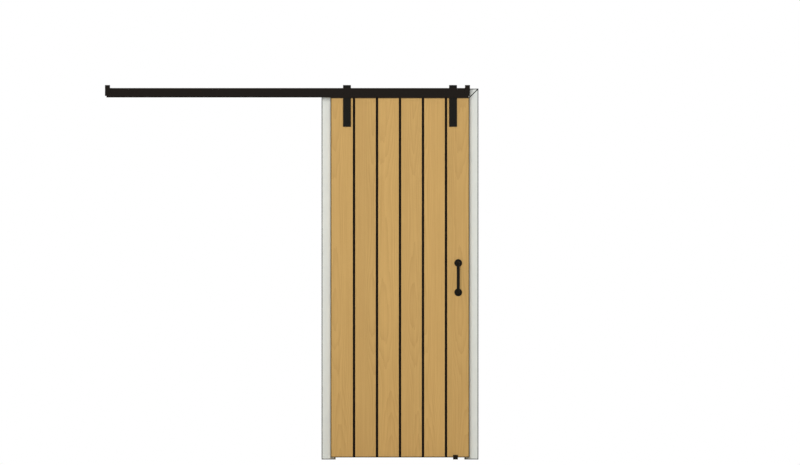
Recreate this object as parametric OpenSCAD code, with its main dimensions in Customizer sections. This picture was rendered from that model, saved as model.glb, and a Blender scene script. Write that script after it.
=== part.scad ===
// Sliding barn door with its painted doorway frame, track and hardware, without the wall.
// Millimetres. X runs along the wall, Z is up, and the front looks towards -Y.
// The origin is on the floor, midway across the doorway, in the plane of the wall's front face.

/* [Doorway frame] */
// Clear width of the doorway
opening_w = 762; // [610:1:915]
// Clear height of the doorway
opening_h = 2115; // [1980:1:2400]
// Depth of the jambs, equal to the thickness of the wall
jamb_depth = 116; // [90:1:180]
// Thickness of the jambs
jamb_t = 18; // [15:1:30]
// Depth of the housings in the legs that take the ends of the head jamb
housing = 6; // [4:1:8]
// Face width of the flat casing
casing_w = 80; // [60:1:110]
// Thickness of the casing
casing_t = 18; // [15:1:25]
// Strip of jamb edge that shows beside the casing
reveal = 4; // [2:1:8]
// Rounding of the casing's outward edges
casing_round = 2; // [1:0.5:5]
// Chamfer along the casing's mitres, which makes a V between leg and head
mitre_ease = 3; // [0.5:0.5:5]

/* [Frame fixings] */
// Diameter of the holes that fix the jamb legs to the wall
fixing_d = 6; // [5:0.5:8]
// Diameter of the countersinks of those holes
fixing_head_d = 12; // [10:0.5:14]
// Height of the lower pair of holes
fixing_low = 300; // [200:10:600]
// Distance from the head of the doorway down to the upper pair of holes
fixing_drop = 315; // [150:5:600]
// Distance between the two holes of a pair
fixing_spread = 56; // [40:1:70]
// Diameter of the screws that join the legs to the head jamb
frame_screw_d = 4.5; // [3.5:0.5:6]
// Head diameter of those screws
frame_screw_head_d = 9; // [7:0.5:11]
// Length of those screws
frame_screw_l = 50; // [35:1:70]
// Distance of those screws from the front and rear edges of the jambs
frame_screw_edge = 28; // [15:1:40]

/* [Door leaf] */
// How far the leaf laps over the doorway at each side and at the top
lap = 31; // [20:1:60]
// Gap under the leaf
floor_gap = 12; // [8:1:20]
// Number of upright boards
board_count = 6; // [4:1:7]
// Thickness of the boards
board_t = 24; // [20:1:30]
// Width of the open groove between two boards
groove_w = 12; // [4:1:14]
// Extra width of the two outer boards
edge_extra = 3; // [0:1:12]
// Depth of that groove, down to the spline
groove_depth = 9; // [6:1:11]
// Chamfer on the front arrises of the boards
arris = 1.5; // [0.5:0.5:3]
// Thickness of the splines
spline_t = 6; // [4:1:8]
// How far a spline reaches into each board
spline_bite = 9; // [6:1:14]
// Thickness of the ledges behind the boards
ledge_t = 20; // [16:1:28]
// Height of the top ledge
ledge_top_h = 140; // [120:1:200]
// Distance from the top of the leaf down to the top ledge
ledge_top_drop = 30; // [15:1:80]
// Height of the bottom ledge
ledge_bottom_h = 190; // [120:1:240]
// Height of the bottom ledge's lower edge above the bottom of the leaf
ledge_bottom_lift = 130; // [60:1:250]
// Distance that the ledges stop short of the leaf's edges
ledge_inset = 20; // [12:1:30]
// Chamfer along the rear edges of the ledges
ledge_chamfer = 6; // [2:1:10]
// Gap between the ledges and the casing
back_gap = 8; // [5:1:15]

/* [Ledge screws] */
// Diameter of the screws that hold the boards to the ledges
ledge_screw_d = 5; // [4:0.5:6]
// Head diameter of those screws
ledge_screw_head_d = 10; // [8:0.5:12]
// Board left uncut in front of each screw's tip
ledge_screw_cover = 6; // [4:1:10]
// Distance of the screws from a ledge's upper and lower edges
ledge_screw_edge = 25; // [18:1:35]
// Distance of the screws from the middle of their board, away from the middle of the leaf
ledge_screw_out = 20; // [18:1:25]

/* [Track] */
// Reach of the track to the left of the doorway's middle
track_left = 1740; // [1400:10:2200]
// Distance that the track stops short of the leaf's right edge
track_inset = 6; // [0:1:20]
// Height of the running rail
rail_h = 28; // [24:1:40]
// Thickness of the running rail
rail_t = 8; // [6:1:10]
// Gap between the leaf's top edge and the running rail
rail_lift = 4; // [3:1:8]
// Distance between the rail's fixing holes
rail_pitch = 480; // [350:10:600]
// Distance of the first fixing hole from the rail's right end
rail_first = 46; // [40:1:120]
// Diameter of the lag screws through the rail
lag_d = 8; // [6:1:10]
// Width across the flats of the lag screws' heads
lag_flats = 13; // [10:1:15]
// Height of the lag screws' heads
lag_head_h = 5; // [3:0.5:5]
// Depth that the lag screws reach into the wall
lag_bite = 45; // [30:1:80]
// Diameter of the spacers behind the rail
spacer_d = 18; // [16:1:20]
// Height of the cover bar in front of the hangers
bar_h = 56; // [40:1:65]
// Thickness of the cover bar
bar_t = 6; // [4:1:10]
// Height of the cover bar's lower edge above the leaf's top edge
bar_lift = 0; // [0:1:12]
// Gap between the axle heads and the cover bar
bar_gap = 3; // [2:1:8]

/* [End stops] */
// Width of the end stops along the track
stop_w = 30; // [26:1:40]
// Thickness of a stop past the end of the track
stop_wall = 9; // [4:1:10]
// Thickness of a stop in front of the cover bar
stop_lip = 5; // [3:1:8]
// Thickness of a stop behind the running rail
stop_heel = 8; // [5:1:12]
// Distance from the cover bar's lower edge up to the foot of a stop
stop_lift = 9; // [2:1:12]
// Chamfer on the front edges of a stop
stop_chamfer = 1.5; // [0.5:0.5:2.5]
// Diameter of the rubber bumpers
bumper_d = 14; // [12:1:22]
// Thickness of the rubber bumpers
bumper_t = 10; // [6:1:16]
// Chamfer round the bumpers' faces
bumper_chamfer = 3; // [1:0.5:5]
// Diameter of the stud that holds a bumper
bumper_stud_d = 8; // [5:1:10]
// Length of that stud
bumper_stud_l = 9; // [6:1:12]
// Diameter of the set screws
set_screw_d = 6; // [4:1:6]
// Length of the set screws
set_screw_l = 12; // [8:1:16]
// Width across the flats of the set screws' sockets
set_screw_key = 3; // [2:0.5:3]
// Depth of those sockets
set_screw_socket = 5; // [3:1:6]

/* [Hangers] */
// Width of the hanger straps
strap_w = 47; // [40:1:60]
// Thickness of the hanger straps
strap_t = 6; // [5:1:8]
// Distance of a strap from the middle of its board, towards the middle of the leaf
strap_in = 31; // [0:1:40]
// Strap left below its lower bolt
strap_tail = 34; // [20:1:60]
// Strap left above the wheel behind it
strap_cap = 3.5; // [1:0.5:10]
// Rounding of the straps' corners
strap_round = 3; // [1:0.5:8]
// Distance between the two bolts of a strap
strap_bolt_pitch = 80; // [60:1:90]
// Diameter of the strap bolts
strap_bolt_d = 10; // [8:1:12]
// Width across the flats of the strap bolts' heads and nuts
strap_bolt_flats = 17; // [16:1:19]
// Height of the strap bolts' heads
strap_bolt_head_h = 6; // [4:0.5:8]
// Height of the strap bolts' nuts
strap_nut_h = 8; // [6:0.5:8]
// Diameter of the washers under those nuts
strap_washer_d = 22; // [20:1:24]
// Thickness of those washers
strap_washer_t = 2; // [1:0.5:2]

/* [Wheels] */
// Diameter of the wheels over their flanges
wheel_d = 42; // [40:1:60]
// Width of the wheels
wheel_w = 20; // [16:1:24]
// Depth of the groove that runs on the rail
wheel_groove = 4; // [3:0.5:5]
// Gap between the rail and the sides of the groove
groove_gap = 0.5; // [0.3:0.1:0.8]
// Slope of the groove's sides, as extra width at its mouth on each side
groove_flare = 1; // [0.5:0.5:1.5]
// Chamfer on the wheels' rims
rim_chamfer = 1.5; // [0.5:0.5:2]
// Gap between the strap and the wheel
hub_gap = 4; // [2:1:6]
// Diameter of the axles
axle_d = 10; // [8:1:12]
// Width across the flats of the axles' heads and nuts
axle_flats = 17; // [15:1:19]
// Height of the axles' low heads
axle_head_h = 5; // [3:0.5:6]
// Height of the axles' nuts
axle_nut_h = 8; // [5:0.5:10]
// Axle left showing behind its nut
axle_tail = 2; // [1:0.5:3]
// Wall of the sleeves on the axle, beside the bearing
sleeve_wall = 2; // [1:0.5:2.5]
// How far the rear sleeve stands out behind the wheel
sleeve_out = 2; // [1:0.5:3]
// Outside diameter of the wheel bearings
bearing_d = 26; // [24:1:28]
// Width of the wheel bearings
bearing_w = 8; // [7:1:10]
// Width of the bearings' inner and outer rings
bearing_ring = 2.5; // [2:0.5:2.5]
// Depth of the seals below the bearings' faces
seal_depth = 0.5; // [0.2:0.1:1]
// Height of the lip that keeps a bearing in its wheel
bearing_lip = 2.5; // [1.5:0.5:3]

/* [Pull handle] */
// Height of the handle's middle above the floor
handle_z = 1078; // [900:1:1200]
// Distance between the handle's two ends
handle_pitch = 174; // [140:1:260]
// Diameter of the grip
grip_d = 18; // [12:1:22]
// Reach of the grip's middle out from the boards
grip_reach = 46; // [40:1:70]
// Radius of the grip's bends, at its middle
grip_bend = 22; // [16:1:28]
// Diameter of the round roses
rose_d = 46; // [36:1:60]
// Thickness of the roses
rose_t = 6; // [4:1:8]
// Rounding of the roses' rims
rose_round = 3; // [1:0.5:4]
// Diameter of the bolts through the leaf
handle_bolt_d = 6; // [5:0.5:8]
// How far the bolts reach into the grip
handle_bolt_bite = 14; // [10:1:20]
// Head diameter of those bolts
handle_head_d = 12; // [10:0.5:14]
// Head height of those bolts
handle_head_h = 4; // [3:0.5:5]
// Diameter of the washers under those heads
handle_washer_d = 18; // [16:1:22]
// Thickness of those washers
handle_washer_t = 1.5; // [1:0.5:2]
// Height of the middle ledge above and below the handle's bolts
handle_margin = 28; // [25:1:60]

/* [Floor guide] */
// Distance of the guide's middle from the doorway's middle
guide_x = 329; // [280:1:345]
// Width of the guide along the track
guide_w = 29; // [24:1:40]
// Height of the guide
guide_h = 27; // [22:1:40]
// Thickness of the guide's plate
guide_t = 3; // [2:0.5:5]
// Thickness of the pads inside the guide
pad_t = 2; // [1:0.5:4]
// Gap between a pad and the boards
pad_gap = 0.5; // [0.3:0.1:1.5]
// Distance from the guide's base and top to the pads
pad_inset = 1; // [0.5:0.5:3]
// Diameter of the screw holes in the guide's base
guide_hole_d = 5; // [4:0.5:6]
// Distance between those holes
guide_hole_pitch = 14; // [12:1:16]

/* [Hidden] */
$fn = 64;

// Clearances: a loose hole, a screw in wood, a seat, a pressed ring, a running axle, the wheel on the rail
hole_gap = 0.5;
wood_gap = 0.1;
seat_gap = 0.2;
press_gap = 0.02;
axle_gap = 0.05;
run_gap = 0.3;
// Play between the bearing and its sleeves
side_play = 0.2;
// How deep the nuts and heads sit below the rear faces of the ledges
recess = 1;
// Room round a nut, head or washer in its counterbore
counterbore_gap = 2;
// How far a cutter runs past the face that it cuts
over = 1;
// Share of a screw's diameter left at the end of its point, which is as long as it is thick
point_share = 0.25;

// Finishes
paint = "#D5D8D1";
timber = "#C29C62";
timber_dark = "#B08A54";
stained = "#14110F";
black_steel = "#24211E";
zinc = "#A9ACAE";
nylon = "#3A3835";
rubber = "#1B1B1B";
felt = "#55524E";

// Doorway frame
opening_half = opening_w / 2;
jamb_out = opening_half + jamb_t;
jamb_top = opening_h + jamb_t;
casing_in = opening_half + reveal;
casing_out = casing_in + casing_w;
casing_low = opening_h + reveal;
casing_top = casing_low + casing_w;

// Door leaf, from the wall outwards
door_w = opening_w + 2 * lap;
door_half = door_w / 2;
door_top = opening_h + lap;
board_pitch = (door_w - 2 * edge_extra) / board_count;
door_back_y = -casing_t - back_gap;
board_back_y = door_back_y - ledge_t;
door_face_y = board_back_y - board_t;
strap_face_y = door_face_y - strap_t;
spline_y = door_face_y + groove_depth;
ledge_screw_l = ledge_t + board_t - ledge_screw_cover;
ledge_half = door_half - ledge_inset;

// Middle of the groove on the right of board i, and the edges and middle of that board
function groove_x(i) = -door_half + edge_extra + i * board_pitch;
function board_left(i) = i == 1 ? -door_half : groove_x(i - 1) + groove_w / 2;
function board_right(i) = i == board_count ? door_half : groove_x(i) - groove_w / 2;
function board_mid(i) = (board_left(i) + board_right(i)) / 2;

// Heights of the ledges, each as its lower and upper edge
ledge_top_z = [door_top - ledge_top_drop - ledge_top_h, door_top - ledge_top_drop];
handle_half = handle_pitch / 2;
ledge_middle_z = [handle_z - handle_half - handle_margin, handle_z + handle_half + handle_margin];
ledge_bottom_z = [floor_gap + ledge_bottom_lift, floor_gap + ledge_bottom_lift + ledge_bottom_h];

// Track, wheels and hangers
track_right = door_half - track_inset;
rail_low = door_top + rail_lift;
rail_top = rail_low + rail_h;
wheel_y = door_face_y + hub_gap + wheel_w / 2;
rail_face_y = wheel_y - rail_t / 2;
rail_back_y = wheel_y + rail_t / 2;
rail_bolt_z = rail_low + (rail_h - wheel_groove) / 2;
rail_hole_d = lag_d + 2 * hole_gap;
groove_r = wheel_d / 2 - wheel_groove;
axle_z = rail_top + run_gap + groove_r;
strap_x = board_mid(board_count) - strap_in;
strap_top = axle_z + wheel_d / 2 + strap_cap;
strap_bolt_mid = (ledge_top_z[0] + ledge_top_z[1]) / 2;
strap_bolt_zs = [strap_bolt_mid - strap_bolt_pitch / 2, strap_bolt_mid + strap_bolt_pitch / 2];
strap_low = strap_bolt_zs[0] - strap_tail;
strap_nut_y = door_back_y - recess - strap_nut_h;
strap_washer_y = strap_nut_y - strap_washer_t;
bearing_front_y = wheel_y - bearing_w / 2;
bearing_back_y = wheel_y + bearing_w / 2;
axle_nut_y = wheel_y + wheel_w / 2 + sleeve_out;
bar_low = door_top + bar_lift;
bar_top = bar_low + bar_h;
bar_back_y = strap_face_y - axle_head_h - bar_gap;
bar_face_y = bar_back_y - bar_t;
stop_low = bar_low + stop_lift;
stop_top = strap_top;

// Places along the rail where it is fixed: over the casing, and on the bare wall
rail_hole_count = floor((track_left + track_right - 2 * rail_first) / rail_pitch) + 1;
rail_xs = [for (k = [0 : rail_hole_count - 1]) track_right - rail_first - k * rail_pitch];
casing_reach = casing_out + spacer_d / 2;
casing_xs = [for (x = rail_xs) if (abs(x) < casing_reach) x];
wall_xs = [for (x = rail_xs) if (abs(x) >= casing_reach) x];

// Handle
handle_x = board_mid(board_count);
handle_zs = [handle_z - handle_half, handle_z + handle_half];
rose_face_y = door_face_y - rose_t;
grip_y = door_face_y - grip_reach;
handle_head_y = door_back_y - recess - handle_head_h;
handle_washer_y = handle_head_y - handle_washer_t;

// Floor guide
guide_front_y = door_face_y - pad_gap - pad_t - guide_t;
guide_back_y = board_back_y + pad_gap + pad_t + guide_t;

// Shapes that repeat

// Box between two corners
module block(low, high) {
    translate(low) cube(high - low);
}

// Upright flat outline, drawn in X and Z, given thickness from y0 to y1
module slab(y0, y1) {
    translate([0, y1, 0]) rotate([90, 0, 0]) linear_extrude(y1 - y0) children();
}

// Outline drawn in Y and Z, drawn out along X from x0 to x1
module run(x0, x1) {
    translate([x0, 0, 0]) rotate([90, 0, 90]) linear_extrude(x1 - x0) children();
}

// What stands along +Z is laid along +Y, from a point
module along_y(x, y, z) {
    translate([x, y, z]) rotate([-90, 0, 0]) children();
}

// Round bar along Y
module rod_y(x, z, y0, y1, d) {
    along_y(x, y0, z) cylinder(d = d, h = y1 - y0);
}

// The right-hand piece, or its mirror image on the left
module on_side(side) {
    mirror([side < 0 ? 1 : 0, 0, 0]) children();
}

// Hexagonal prism by its width across the flats
module hexagon(flats, h) {
    cylinder(d = flats / cos(30), h = h, $fn = 6);
}

// Countersunk screw along +Z, its flat head at 0
module wood_screw(d, head_d, l) {
    cylinder(d1 = head_d, d2 = d, h = (head_d - d) / 2);
    cylinder(d = d, h = l - d);
    translate([0, 0, l - d]) cylinder(d1 = d, d2 = d * point_share, h = d);
}

// Hole for that screw, open past its head
module wood_screw_hole(d, head_d, l) {
    wood_screw(d + 2 * wood_gap, head_d + 2 * wood_gap, l + wood_gap);
    translate([0, 0, -over]) cylinder(d = head_d + 2 * wood_gap, h = over);
}

// Hexagon-headed bolt along +Z, its head below 0
module hex_bolt(d, flats, head_h, l) {
    translate([0, 0, -head_h]) hexagon(flats, head_h);
    cylinder(d = d, h = l);
}

// Hexagon nut along +Z on a bolt
module hex_nut(d, flats, h) {
    difference() {
        hexagon(flats, h);
        translate([0, 0, -over]) cylinder(d = d + 2 * axle_gap, h = h + 2 * over);
    }
}

// Flat ring or tube along +Z
module ring(d_out, d_in, h) {
    difference() {
        cylinder(d = d_out, h = h);
        translate([0, 0, -over]) cylinder(d = d_in, h = h + 2 * over);
    }
}

// Rectangle from 0 to w and 0 to t, with its two corners at 0 rounded
module eased_strip(w, t, r) {
    translate([r, 0]) square([w - 2 * r, t]);
    translate([0, r]) square([w, t - r]);
    translate([r, r]) circle(r);
    translate([w - r, r]) circle(r);
}

// Rectangle with all four corners rounded
module round_plate(x0, x1, z0, z1, r) {
    translate([x0 + r, z0]) square([x1 - x0 - 2 * r, z1 - z0]);
    translate([x0, z0 + r]) square([x1 - x0, z1 - z0 - 2 * r]);
    for (x = [x0 + r, x1 - r], z = [z0 + r, z1 - r]) {
        translate([x, z]) circle(r);
    }
}

// Doorway frame

// Screws from the right leg into the head jamb, or the holes for them
module place_frame_screws() {
    for (y = [frame_screw_edge, jamb_depth - frame_screw_edge]) {
        translate([jamb_out, y, opening_h + jamb_t / 2]) rotate([0, -90, 0]) children();
    }
}

// Countersunk fixing holes of the right leg, open to the doorway
module fixing_holes() {
    sink = (fixing_head_d - fixing_d) / 2;
    zs = [fixing_low, opening_h - fixing_drop];
    ys = [(jamb_depth - fixing_spread) / 2, (jamb_depth + fixing_spread) / 2];
    for (z = zs, y = ys) {
        translate([opening_half, y, z]) rotate([0, 90, 0]) {
            translate([0, 0, -over]) cylinder(d = fixing_d, h = jamb_t + 2 * over);
            cylinder(d1 = fixing_head_d, d2 = fixing_d, h = sink);
            translate([0, 0, -over]) cylinder(d = fixing_head_d, h = over);
        }
    }
}

module jamb_leg(side) {
    color(paint) on_side(side) difference() {
        block([opening_half, 0, 0], [jamb_out, jamb_depth, jamb_top]);
        block([opening_half - over, -over, opening_h],
              [opening_half + housing, jamb_depth + over, jamb_top + over]);
        fixing_holes();
        place_frame_screws() wood_screw_hole(frame_screw_d, frame_screw_head_d, frame_screw_l);
    }
}

module jamb_head() {
    half = opening_half + housing;
    color(paint) difference() {
        block([-half, 0, opening_h], [half, jamb_depth, jamb_top]);
        for (side = [-1, 1]) {
            on_side(side) place_frame_screws()
                wood_screw_hole(frame_screw_d, frame_screw_head_d, frame_screw_l);
        }
    }
}

module frame_screws() {
    color(zinc) for (side = [-1, 1]) {
        on_side(side) place_frame_screws() wood_screw(frame_screw_d, frame_screw_head_d, frame_screw_l);
    }
}

// Triangle on one side of the right-hand mitre: above it for a leg, below it for the head
module mitre_waste(above) {
    low = [casing_in - over, casing_low - over];
    high = [casing_out + over, casing_top + over];
    corner = above ? [low[0], high[1]] : [high[0], low[1]];
    slab(-casing_t - over, over) polygon([low, high, corner]);
}

// V along the face of the right-hand mitre
module mitre_groove() {
    side = mitre_ease * sqrt(2);
    l = (casing_w + 2 * over) * sqrt(2);
    translate([casing_in - over, -casing_t, casing_low - over]) rotate([0, 45, 0]) rotate([0, 0, 45])
        translate([-side / 2, -side / 2, 0]) cube([side, side, l]);
}

// Right-hand casing leg at the front
module casing_leg() {
    difference() {
        translate([casing_in, -casing_t, 0]) linear_extrude(casing_top)
            eased_strip(casing_w, casing_t, casing_round);
        mitre_waste(true);
        mitre_groove();
    }
}

// Head casing at the front
module casing_head() {
    difference() {
        run(-casing_out, casing_out) translate([-casing_t, casing_top]) rotate(-90)
            eased_strip(casing_w, casing_t, casing_round);
        for (side = [-1, 1]) {
            on_side(side) {
                mitre_waste(false);
                mitre_groove();
            }
        }
    }
}

// A front piece carried round to the rear face of the wall
module at_rear() {
    translate([0, jamb_depth, 0]) mirror([0, 1, 0]) children();
}

// Holes in the front casing for the rail's lag screws
module lag_holes() {
    for (x = casing_xs) {
        rod_y(x, rail_bolt_z, -casing_t - over, over, lag_d + 2 * wood_gap);
    }
}

module front_casing_leg(side) {
    color(paint) difference() {
        on_side(side) casing_leg();
        lag_holes();
    }
}

module front_casing_head() {
    color(paint) difference() {
        casing_head();
        lag_holes();
    }
}

module rear_casing_leg(side) {
    color(paint) at_rear() on_side(side) casing_leg();
}

module rear_casing_head() {
    color(paint) at_rear() casing_head();
}

// Track

module running_rail() {
    color(black_steel) difference() {
        block([-track_left, rail_face_y, rail_low], [track_right, rail_back_y, rail_top]);
        for (x = rail_xs) {
            rod_y(x, rail_bolt_z, rail_face_y - over, rail_back_y + over, rail_hole_d);
        }
    }
}

// Spacers between the back of the rail and a face behind it
module rail_spacers(xs, face_y) {
    color(black_steel) for (x = xs) {
        along_y(x, rail_back_y, rail_bolt_z) ring(spacer_d, rail_hole_d, face_y - rail_back_y);
    }
}

// Lag screws with a hexagon head, through the rail, a spacer and the head casing
module rail_screws() {
    shank = lag_bite - rail_face_y;
    color(black_steel) for (x = casing_xs) {
        along_y(x, rail_face_y, rail_bolt_z) {
            hex_bolt(lag_d, lag_flats, lag_head_h, shank - lag_d);
            translate([0, 0, shank - lag_d]) cylinder(d1 = lag_d, d2 = lag_d * point_share, h = lag_d);
        }
    }
}

module cover_bar() {
    color(black_steel) block([-track_left, bar_face_y, bar_low], [track_right, bar_back_y, bar_top]);
}

// Middle of the stretch of track that a stop at the given reach holds
function stop_grip_x(reach) = reach - (stop_w - stop_wall) / 2;

// Set screws of a stop, or the holes for them: one on the cover bar, one on the rail
module place_set_screws(reach) {
    bar_mid_y = (bar_face_y + bar_back_y) / 2;
    translate([stop_grip_x(reach), bar_mid_y, bar_top]) children();
    translate([stop_grip_x(reach), wheel_y, rail_top]) children();
}

// Saddle dropped over the ends of the cover bar and the rail, for the right-hand end
module end_stop(side, reach) {
    inner = reach + stop_wall - stop_w;
    front = bar_face_y - stop_lip;
    back = rail_back_y + stop_heel;
    end = reach + stop_wall;
    c = stop_chamfer;
    outline = [
        [inner, back], [end, back], [end, front + c], [end - c, front], [inner + c, front], [inner, front + c]
    ];
    color(black_steel) on_side(side) difference() {
        translate([0, 0, stop_low]) linear_extrude(stop_top - stop_low) polygon(outline);
        block([inner - over, bar_face_y - seat_gap, stop_low - over],
              [reach + seat_gap, bar_back_y + seat_gap, bar_top + seat_gap]);
        block([inner - over, rail_face_y - seat_gap, stop_low - over],
              [reach + seat_gap, rail_back_y + seat_gap, rail_top + seat_gap]);
        place_set_screws(reach) cylinder(d = set_screw_d + 2 * axle_gap, h = stop_top - rail_top + over);
        translate([inner - over, door_face_y, axle_z]) rotate([0, 90, 0])
            cylinder(d = bumper_stud_d + 2 * axle_gap, h = over + bumper_stud_l + seat_gap);
    }
}

// Rubber bumper with its stud, for the right-hand stop
module bumper(side, reach) {
    r = bumper_d / 2;
    c = bumper_chamfer;
    inner = reach + stop_wall - stop_w;
    color(rubber) on_side(side) translate([inner, door_face_y, axle_z]) rotate([0, -90, 0]) {
        rotate_extrude() polygon([[0, 0], [r, 0], [r, bumper_t - c], [r - c, bumper_t], [0, bumper_t]]);
        translate([0, 0, -bumper_stud_l]) cylinder(d = bumper_stud_d, h = bumper_stud_l);
    }
}

module stop_set_screws() {
    color(zinc) for (end = [[-1, track_left], [1, track_right]]) {
        on_side(end[0]) place_set_screws(end[1]) difference() {
            cylinder(d = set_screw_d, h = set_screw_l);
            translate([0, 0, set_screw_l - set_screw_socket]) hexagon(set_screw_key, set_screw_socket + over);
        }
    }
}

// Floor guide

module floor_guide() {
    half = guide_w / 2;
    mid_y = (guide_front_y + guide_back_y) / 2;
    color(black_steel) difference() {
        block([guide_x - half, guide_front_y, 0], [guide_x + half, guide_back_y, guide_h]);
        block([guide_x - half - over, guide_front_y + guide_t, guide_t],
              [guide_x + half + over, guide_back_y - guide_t, guide_h + over]);
        for (dx = [-guide_hole_pitch / 2, guide_hole_pitch / 2]) {
            translate([guide_x + dx, mid_y, -over]) cylinder(d = guide_hole_d, h = guide_t + 2 * over);
        }
    }
}

module guide_pads() {
    half = guide_w / 2;
    low = guide_t + pad_inset;
    high = guide_h - pad_inset;
    color(felt) for (y = [guide_front_y + guide_t, guide_back_y - guide_t - pad_t]) {
        block([guide_x - half, y, low], [guide_x + half, y + pad_t, high]);
    }
}

// Door leaf

// Screws through one ledge into board i, their heads flush at the back
module place_ledge_screws(i, span) {
    x = board_mid(i) + sign(board_mid(i)) * ledge_screw_out;
    for (z = [span[0] + ledge_screw_edge, span[1] - ledge_screw_edge]) {
        translate([x, door_back_y, z]) rotate([90, 0, 0]) children();
    }
}

module ledge_screw_holes(i, span) {
    place_ledge_screws(i, span) wood_screw_hole(ledge_screw_d, ledge_screw_head_d, ledge_screw_l);
}

// Holes for the strap bolts through the whole thickness of the leaf
module strap_bolt_holes() {
    for (side = [-1, 1], z = strap_bolt_zs) {
        rod_y(side * strap_x, z, door_face_y - over, door_back_y + over, strap_bolt_d + 2 * hole_gap);
    }
}

// Holes for the handle bolts through the whole thickness of the leaf
module handle_bolt_holes() {
    for (z = handle_zs) {
        rod_y(handle_x, z, door_face_y - over, door_back_y + over, handle_bolt_d + 2 * hole_gap);
    }
}

// Board across its width: spline slots in its inner edges, chamfered front arrises
module board_section(i) {
    left = board_left(i);
    right = board_right(i);
    slot_d = spline_bite + seat_gap;
    slot_t = spline_t + 2 * wood_gap;
    face = door_face_y;
    difference() {
        polygon([
            [left, board_back_y], [left, face + arris], [left + arris, face],
            [right - arris, face], [right, face + arris], [right, board_back_y]
        ]);
        if (i > 1) {
            translate([left - over, spline_y - wood_gap]) square([slot_d + over, slot_t]);
        }
        if (i < board_count) {
            translate([right - slot_d, spline_y - wood_gap]) square([slot_d + over, slot_t]);
        }
    }
}

module board(i) {
    color(timber) difference() {
        translate([0, 0, floor_gap]) linear_extrude(door_top - floor_gap) board_section(i);
        for (span = [ledge_top_z, ledge_middle_z, ledge_bottom_z]) {
            ledge_screw_holes(i, span);
        }
        strap_bolt_holes();
        handle_bolt_holes();
    }
}

// Loose spline, stained black, in the slots of two neighbouring boards
module spline(i) {
    half = groove_w / 2 + spline_bite;
    x = groove_x(i);
    color(stained) block([x - half, spline_y, floor_gap], [x + half, spline_y + spline_t, door_top]);
}

// Ledge across the back of the boards, chamfered along its rear edges, with its screw holes
module ledge(span) {
    c = ledge_chamfer;
    section = [
        [board_back_y, span[0]], [door_back_y - c, span[0]], [door_back_y, span[0] + c],
        [door_back_y, span[1] - c], [door_back_y - c, span[1]], [board_back_y, span[1]]
    ];
    difference() {
        run(-ledge_half, ledge_half) polygon(section);
        for (i = [1 : board_count]) {
            ledge_screw_holes(i, span);
        }
    }
}

module ledge_top() {
    color(timber_dark) difference() {
        ledge(ledge_top_z);
        strap_bolt_holes();
        for (side = [-1, 1], z = strap_bolt_zs) {
            rod_y(side * strap_x, z, strap_washer_y, door_back_y + over, strap_washer_d + counterbore_gap);
        }
    }
}

module ledge_middle() {
    color(timber_dark) difference() {
        ledge(ledge_middle_z);
        handle_bolt_holes();
        for (z = handle_zs) {
            rod_y(handle_x, z, handle_washer_y, door_back_y + over, handle_washer_d + counterbore_gap);
        }
    }
}

module ledge_bottom() {
    color(timber_dark) ledge(ledge_bottom_z);
}

module ledge_screws() {
    color(zinc) for (i = [1 : board_count], span = [ledge_top_z, ledge_middle_z, ledge_bottom_z]) {
        place_ledge_screws(i, span) wood_screw(ledge_screw_d, ledge_screw_head_d, ledge_screw_l);
    }
}

// Hangers

module hanger_strap(side) {
    color(black_steel) on_side(side) difference() {
        slab(strap_face_y, door_face_y)
            round_plate(strap_x - strap_w / 2, strap_x + strap_w / 2, strap_low, strap_top, strap_round);
        for (z = strap_bolt_zs) {
            rod_y(strap_x, z, strap_face_y - over, door_face_y + over, strap_bolt_d + 2 * hole_gap);
        }
        rod_y(strap_x, axle_z, strap_face_y - over, door_face_y + over, axle_d + 2 * axle_gap);
    }
}

// A piece at each strap bolt, laid along +Y from the given depth
module at_strap_bolts(y) {
    for (side = [-1, 1], z = strap_bolt_zs) {
        along_y(side * strap_x, y, z) children();
    }
}

module strap_bolts() {
    color(black_steel) at_strap_bolts(strap_face_y)
        hex_bolt(strap_bolt_d, strap_bolt_flats, strap_bolt_head_h, strap_nut_y + strap_nut_h - strap_face_y);
}

module strap_washers() {
    color(zinc) at_strap_bolts(strap_washer_y)
        ring(strap_washer_d, strap_bolt_d + 2 * hole_gap, strap_washer_t);
}

module strap_nuts() {
    color(zinc) at_strap_bolts(strap_nut_y) hex_nut(strap_bolt_d, strap_bolt_flats, strap_nut_h);
}

// A piece on the axle of one wheel, laid along +Y from the given depth
module on_axle(side, y) {
    along_y(side * strap_x, y, axle_z) children();
}

module axle(side) {
    color(black_steel) on_axle(side, strap_face_y)
        hex_bolt(axle_d, axle_flats, axle_head_h, axle_nut_y + axle_nut_h + axle_tail - strap_face_y);
}

// Sleeves that carry the bearing's inner ring, in front of it and behind it
module axle_sleeves(side) {
    d_in = axle_d + 2 * axle_gap;
    d_out = d_in + 2 * sleeve_wall;
    back_y = bearing_back_y + side_play;
    color(zinc) {
        on_axle(side, door_face_y) ring(d_out, d_in, bearing_front_y - side_play - door_face_y);
        on_axle(side, back_y) ring(d_out, d_in, axle_nut_y - back_y);
    }
}

module axle_nut(side) {
    color(zinc) on_axle(side, axle_nut_y) hex_nut(axle_d, axle_flats, axle_nut_h);
}

// Half section of a wheel: grooved tread outside, bearing seat and lip inside
module wheel_section() {
    r = wheel_d / 2;
    half = wheel_w / 2;
    floor_half = rail_t / 2 + groove_gap;
    mouth_half = floor_half + groove_flare;
    seat_r = bearing_d / 2 + press_gap;
    lip_r = seat_r - bearing_lip;
    lip_end = -bearing_w / 2;
    c = rim_chamfer;
    polygon([
        [lip_r, -half], [r - c, -half], [r, -half + c], [r, -mouth_half], [groove_r, -floor_half],
        [groove_r, floor_half], [r, mouth_half], [r, half - c], [r - c, half], [seat_r, half],
        [seat_r, lip_end], [lip_r, lip_end]
    ]);
}

module wheel(side) {
    color(nylon) on_axle(side, wheel_y) rotate_extrude() wheel_section();
}

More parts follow.
